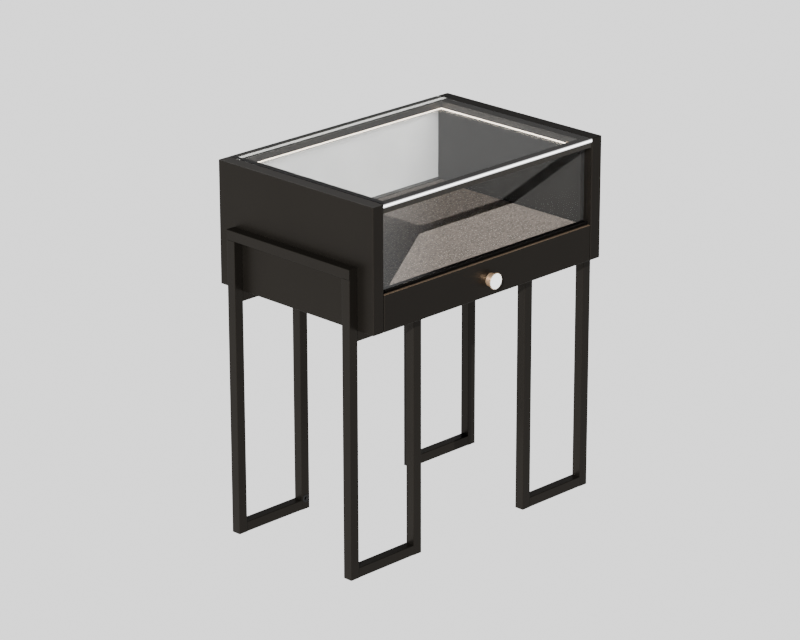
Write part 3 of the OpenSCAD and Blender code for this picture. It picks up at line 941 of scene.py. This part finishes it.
@dataclass
class HingeScrews:
    """The screws in the leaves of the flap's two hinges."""

    radius: float = 2.6 * MM
    height: float = 0.5 * MM
    pitch: float = 16.0 * MM
    count: int = 3
    leaf: float = 50.0 * MM
    inset: float = 6.0 * MM
    sunk: float = 0.05 * MM

    def build(self) -> None:
        """Makes the screws of the case's leaves and of the flap's leaves."""
        low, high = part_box("hinge_case_leaves")
        flap_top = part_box("hinge_flap_leaves")[1].z
        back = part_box("flap_skin")[1].y - self.sunk
        reach = self.pitch * (self.count - 1) / 2
        centres = (low.x + self.leaf / 2, high.x - self.leaf / 2)
        for name, z, body in (("hinge_screws_case", low.z + self.inset, Body.TABLE),
                              ("hinge_screws_flap", flap_top - self.inset, Body.FLAP)):
            unit = ScrewHead(self.radius, self.height, Vector((0, 1, 0))).build()
            starts = [Vector((centre - reach, back, z)) for centre in centres]
            piece = rows_of(name, unit, FINISHES.steel, starts, (self.pitch, 0, 0), self.count)
            settle(piece, body)


@dataclass
class RunnerScrews:
    """The screws that hold the runners' inner members to the drawer."""

    radius: float = 3.4 * MM
    height: float = 1.6 * MM
    pitch: float = 128.0 * MM
    count: int = 3
    inset: float = 20.0 * MM
    web: float = 1.2 * MM

    def build(self) -> None:
        """Makes the screws inside the inner members, which face the panels."""
        for side, node in ((-1, "runner_inner_left"), (1, "runner_inner_right")):
            low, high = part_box(node)
            web = low.x + self.web if side > 0 else high.x - self.web
            start = Vector((web, low.y + self.inset, (low.z + high.z) / 2))
            unit = ScrewHead(self.radius, self.height, Vector((side, 0, 0))).build()
            piece = rows_of(f"{node}_screws", unit, FINISHES.steel, [start],
                            (0, self.pitch, 0), self.count)
            settle(piece, Body.DRAWER)


@dataclass
class DriverRibs:
    """The ribs along the light driver's lid."""

    width: float = 1.4 * MM
    height: float = 0.8 * MM
    length_share: float = 0.8
    arris: float = 0.3 * MM
    pitch: float = 4.0 * MM
    count: int = 24

    def build(self) -> None:
        """Makes the ribs across the lid of the driver's housing."""
        low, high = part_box("light_driver")
        length = (high.y - low.y) * self.length_share
        shape = bmesh.new()
        add_block(shape, Vector((self.width, length, self.height)), Vector())
        soften(shape, self.arris)
        unit = mesh_of("driver_rib_unit", shape)
        middle = (low + high) / 2
        start = Vector((middle.x - self.pitch * (self.count - 1) / 2, middle.y, high.z))
        piece = rows_of("driver_ribs", unit, FINISHES.white_plastic, [start],
                        (self.pitch, 0, 0), self.count)
        settle(piece, Body.TABLE)


@dataclass
class PullCup:
    """The dark cup that lines the finger recess of the rear flap."""

    wall: float = 0.8 * MM
    lip: float = 2.2 * MM
    proud: float = 0.4 * MM
    length: float = 80.0 * MM
    height: float = 20.0 * MM
    depth: float = 6.0 * MM
    drop: float = 24.0 * MM
    turns: int = 16
    seat: float = 0.02 * MM
    shoulder: float = 0.7
    slope: float = 0.4 * MM
    dip: float = 0.3
    rounding: float = 0.3 * MM
    clearance: float = 0.05 * MM

    def outline(self, grow: float) -> list[Pair]:
        """Returns the points of a stadium round the recess, grown by some way."""
        radius = self.height / 2 + grow
        straight = (self.length - self.height) / 2
        points = []
        for side, start in ((1, -math.pi / 2), (-1, math.pi / 2)):
            for step in range(self.turns + 1):
                turn = start + math.pi * step / self.turns
                points.append((side * straight + radius * math.cos(turn),
                               radius * math.sin(turn)))
        return points

    def rings(self) -> list[Pair]:
        """Returns how far each ring is grown and how far it stands out of the skin.

        The first six run from the lip down to the cup's floor, and the last two
        back up its outside.
        """
        inner = -self.wall - self.rounding
        return [(self.lip, self.seat), (self.lip, self.proud * self.shoulder),
                (self.lip - self.slope, self.proud), (-self.wall, self.proud),
                (inner, self.proud * self.dip), (inner, -self.depth + self.wall),
                (-self.clearance, -self.depth + self.clearance), (-self.clearance, self.seat)]

    def build(self) -> None:
        """Makes the cup with a lip that lies on the flap's skin."""
        _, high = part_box("flap_skin")
        centre_z = high.z - self.drop - self.height / 2
        shape = bmesh.new()
        loops = [[shape.verts.new((x, high.y + out, centre_z + z)) for x, z in self.outline(grow)]
                 for grow, out in self.rings()]
        inside, outside = 5, 6
        for first, ring in enumerate(loops):
            if first == inside:
                continue
            following = loops[(first + 1) % len(loops)]
            for i in range(len(ring)):
                after = (i + 1) % len(ring)
                shape.faces.new((ring[i], ring[after], following[after], following[i]))
        shape.faces.new(loops[inside])
        shape.faces.new(list(reversed(loops[outside])))
        piece = mesh_of("flap_pull_cup", shape)
        dress(piece, FINISHES.profile)
        settle(piece, Body.FLAP)


@dataclass
class Casework:
    """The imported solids, each with its own finish."""

    alike: tuple[tuple[Finish, str], ...] = (
        (FINISHES.bronze, "side_panel_right back_board flap_skin"),
        (FINISHES.board, "bottom_panel deck_board drawer_side_left drawer_side_right"),
        (FINISHES.board, "drawer_back drawer_bottom"),
        (FINISHES.lining, "lining_left lining_right"),
        (FINISHES.channel, "glass_channel"),
        (FINISHES.profile, "front_rail side_rail_left side_rail_right"),
        (FINISHES.white_board, "rear_flap"),
        (FINISHES.white_plastic, "light_driver"),
        (FINISHES.steel, "magnetic_catches strike_plates hinge_case_leaves hinge_flap_leaves"),
        (FINISHES.steel, "knob_screw frame_screws"),
        (FINISHES.bumper, "drawer_bumpers"),
        (FINISHES.champagne, "knob_body"),
        (FINISHES.disc, "knob_disc"),
        (FINISHES.rubber, "cable_grommet"),
        (FINISHES.black_plastic, "foot_glides"))
    # Painted highlights by solid: the colour and depth of a lighter strip for light caught on the
    # drawer front's top edge and on the left panel's whole top.
    edges: tuple[tuple[str, Colour, float], ...] = (
        ("drawer_front", linear(92, 78, 64), 5.0 * MM),
        ("side_panel_left", (0.04, 0.038, 0.036), 0.5))
    # How far the painted highlights reach down from each solid's top.
    edge_highlight_height: float = 0.6 * MM
    # Where the painted highlight on the rear rail's top lies, a white strip standing in for the
    # bright line of the top glass's rear edge.
    rear_highlight_front: float = 20.0 * MM
    rear_highlight_back: float = 10.0 * MM
    rear_highlight_height: float = 1.0 * MM
    front_ior: float = 1.05
    # How much of the front pane's width the painted reflection covers.
    reflection_glow_share: float = 0.34

    def highlit_edge(self, node: str, edge: Colour, depth: float) -> Finish:
        """Returns a bronze finish with a painted highlight, a lighter strip along the front of a
        solid's top.

        Args:
            node: The solid's name.
            edge: The painted highlight's colour.
            depth: How far the painted highlight runs back from the solid's front.

        Returns:
            The finish.
        """
        low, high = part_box(node)
        bronze = FINISHES.bronze
        return HighlightStripMetal(f"edged_{node}", bronze.colour, bronze.roughness, bronze.grain,
                          bronze.specular, tape=edge, front=low.y - depth, back=low.y + depth,
                          low=high.z - self.edge_highlight_height)

    def front_glass(self) -> Finish:
        """Returns the front pane's low-reflection glass, with a painted reflection glowing at its
        left end.
        """
        low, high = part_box("front_glass")
        return PaintedReflectionGlass("low_reflection_glass", ior=self.front_ior, start=low.x,
                           end=low.x + self.reflection_glow_share * (high.x - low.x))

    def diffuser(self) -> Finish:
        """Returns the diffuser's finish, bright between its edges."""
        low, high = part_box("light_diffuser")
        return Opal("opal_diffuser", low=low.z, high=high.z)

    def highlit_rear_rail(self) -> Finish:
        """Returns the rear rail's finish, with a painted highlight, a white strip, behind the
        middle.
        """
        _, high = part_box("rear_rail")
        return HighlightStripMetal("highlit_profile", FINISHES.profile.colour, front=high.y - self.rear_highlight_front,
                          back=high.y - self.rear_highlight_back, low=high.z - self.rear_highlight_height)

    def build(self, nodes: dict[str, Piece]) -> None:
        """Dresses every solid by its name.

        Args:
            nodes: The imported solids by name.
        """
        looks = {name: finish for finish, names in self.alike for name in names.split()}
        looks |= {"rear_rail": self.highlit_rear_rail(), "light_diffuser": self.diffuser()}
        looks |= {name: self.highlit_edge(name, edge, depth) for name, edge, depth in self.edges}
        for name, piece in nodes.items():
            usual = FINISHES.zinc if name.startswith("runner_") else FINISHES.tube
            dress(piece, looks.get(name, usual))
            LOG.info("%s is dressed", name)


@dataclass
class Studio:
    """The floor, the lights and the camera.

    Both skies give greys by height, from 0 straight down to 1 straight up.
    """

    floor_reach: float = 40.0
    sky: tuple[Pair, ...] = ((0.45, 0.42), (0.54, 0.21), (0.69, 0.21), (0.75, 0.02))
    bright_sky: tuple[Pair, ...] = ((0.45, 0.62), (0.54, 0.21), (0.69, 0.21), (0.75, 0.02))
    bright_from: Triple = (-0.7071, 0.7071, 0.0)
    bright_reach: Pair = (-0.5, 0.6)
    key_from: Triple = (-0.759, -0.509, 0.406)
    key_power: float = 8.2
    key_spread: float = math.radians(0.3)
    deck_power: float = 11.5
    front_from: Triple = (-0.1, -1.0, 0.6)
    front_power: float = 8.6
    front_spread: float = math.radians(60)
    camera_at: Triple = (-4.333216, -4.275922, 2.628227)
    camera_right: Triple = (0.70505096, -0.70915425, -0.00184785)
    camera_ahead: Triple = (0.66494138, 0.66199510, -0.34585474)
    focal_pixels: float = 3459.83
    picture_width: float = 800.0
    sensor: float = 36.0
    clip: Pair = (0.1, 200.0)

    def camera(self) -> None:
        """Makes the camera at the photograph's viewing angle."""
        data = bpy.data.cameras.new("camera")
        data.sensor_fit = "HORIZONTAL"
        data.sensor_width = self.sensor
        data.lens = self.focal_pixels / self.picture_width * self.sensor
        data.clip_start, data.clip_end = self.clip
        made = bpy.data.objects.new("camera", data)
        bpy.context.scene.collection.objects.link(made)
        ahead = Vector(self.camera_ahead).normalized()
        right = Vector(self.camera_right).normalized()
        turn = Matrix((right, right.cross(ahead), -ahead)).transposed()
        made.matrix_world = Matrix.Translation(self.camera_at) @ turn.to_4x4()
        bpy.context.scene.camera = made

    def surroundings(self) -> None:
        """Makes soft surroundings, dim above and brighter below, most so at the back left."""
        world = bpy.data.worlds.new("studio")
        world.use_nodes = True
        graph = Graph(world.node_tree)
        way = graph.node("ShaderNodeTexCoord").outputs["Generated"]
        height = graph.rescale(graph.axes(way)["Z"], (-1.0, 1.0))
        turned = graph.node("ShaderNodeVectorMath", operation="DOT_PRODUCT")
        graph.feed(turned.inputs[0], way)
        graph.feed(turned.inputs[1], self.bright_from)
        share = graph.rescale(turned.outputs["Value"], self.bright_reach)
        mixed = graph.mix(share, graph.ramp(height, greys(self.sky)),
                          graph.ramp(height, greys(self.bright_sky)))
        even = graph.node("ShaderNodeBackground", {"Color": mixed})
        graph.node("ShaderNodeOutputWorld", {"Surface": even.outputs[0]})
        bpy.context.scene.world = world

    @staticmethod
    def lamp(name: str, toward: Triple, power: float, spread: float, lit: list[Piece],
             passed: list[Piece]) -> None:
        """Makes a far lamp that lights only some pieces and passes through some.

        Args:
            name: The lamp's name.
            toward: The way from the table to the lamp.
            power: Its strength.
            spread: How wide it looks, in radians.
            lit: The pieces it lights.
            passed: The panes that don't hold it back.
        """
        data = bpy.data.lights.new(name, "SUN")
        data.energy, data.angle = power, spread
        made = bpy.data.objects.new(name, data)
        bpy.context.scene.collection.objects.link(made)
        made.rotation_mode = "QUATERNION"
        made.rotation_quaternion = Vector(toward).to_track_quat("Z", "Y")
        receivers = bpy.data.collections.new(f"{name}_lit")
        for piece in lit:
            receivers.objects.link(piece)
        made.light_linking.receiver_collection = receivers
        clear = bpy.data.collections.new(f"{name}_passed")
        for pane in passed:
            clear.objects.link(pane)
        for item in clear.collection_objects:
            item.light_linking.link_state = "EXCLUDE"
        made.light_linking.blocker_collection = clear

    def light(self, nodes: dict[str, Piece], top: Piece, front: Piece, deck: Piece) -> None:
        """Lights the table with a low key, and some pieces with a lamp of their own.

        Args:
            nodes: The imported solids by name.
            top: The top pane.
            front: The front pane, which lets more of the key onto the deck.
            deck: The deck's cover.
        """
        flap = nodes["rear_flap"]
        shown = [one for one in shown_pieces() if one not in (flap, top, front)]
        self.lamp("key", self.key_from, self.key_power, self.key_spread, shown, [top, front])
        self.lamp("deck_key", self.key_from, self.deck_power, self.key_spread, [deck], [front])
        self.lamp("front_light", self.front_from, self.front_power, self.front_spread,
                  [flap, nodes["knob_disc"]], [top, front])

    def floor(self) -> None:
        """Makes the plain pale floor, which doesn't light the table."""
        shape = bmesh.new()
        bmesh.ops.create_grid(shape, x_segments=1, y_segments=1, size=self.floor_reach)
        made = mesh_of("floor", shape)
        dress(made, Backdrop("floor"))
        made.visible_diffuse = False
        made.visible_glossy = False
        made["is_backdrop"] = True


def main() -> None:
    """Builds the studio and dresses the table, piece by piece."""
    logging.basicConfig(level=logging.INFO, format="%(name)s: %(message)s")
    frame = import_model()
    studio = Studio()
    studio.camera()
    nodes = frame["nodes"]
    casework = Casework()
    casework.build(nodes)
    deck = ClothCover("deck_cover", "deck_suede", FINISHES.suede, Body.TABLE, "suede",
                      "deck_board").build()
    ClothCover("drawer_felt", "drawer_felt_lining", FINISHES.felt, Body.DRAWER, "felt",
               "drawer_bottom").build()
    top = Pane("top_glass", "top_pane", FINISHES.glass, ground=True).build()
    front = Pane("front_glass", "front_pane", casework.front_glass()).build()
    for trim in (EndCaps(), HingeScrews(), RunnerScrews(), DriverRibs(), PullCup()):
        trim.build()
    studio.floor()
    studio.surroundings()
    studio.light(nodes, top, front, deck)


if __name__ == "__main__":
    main()
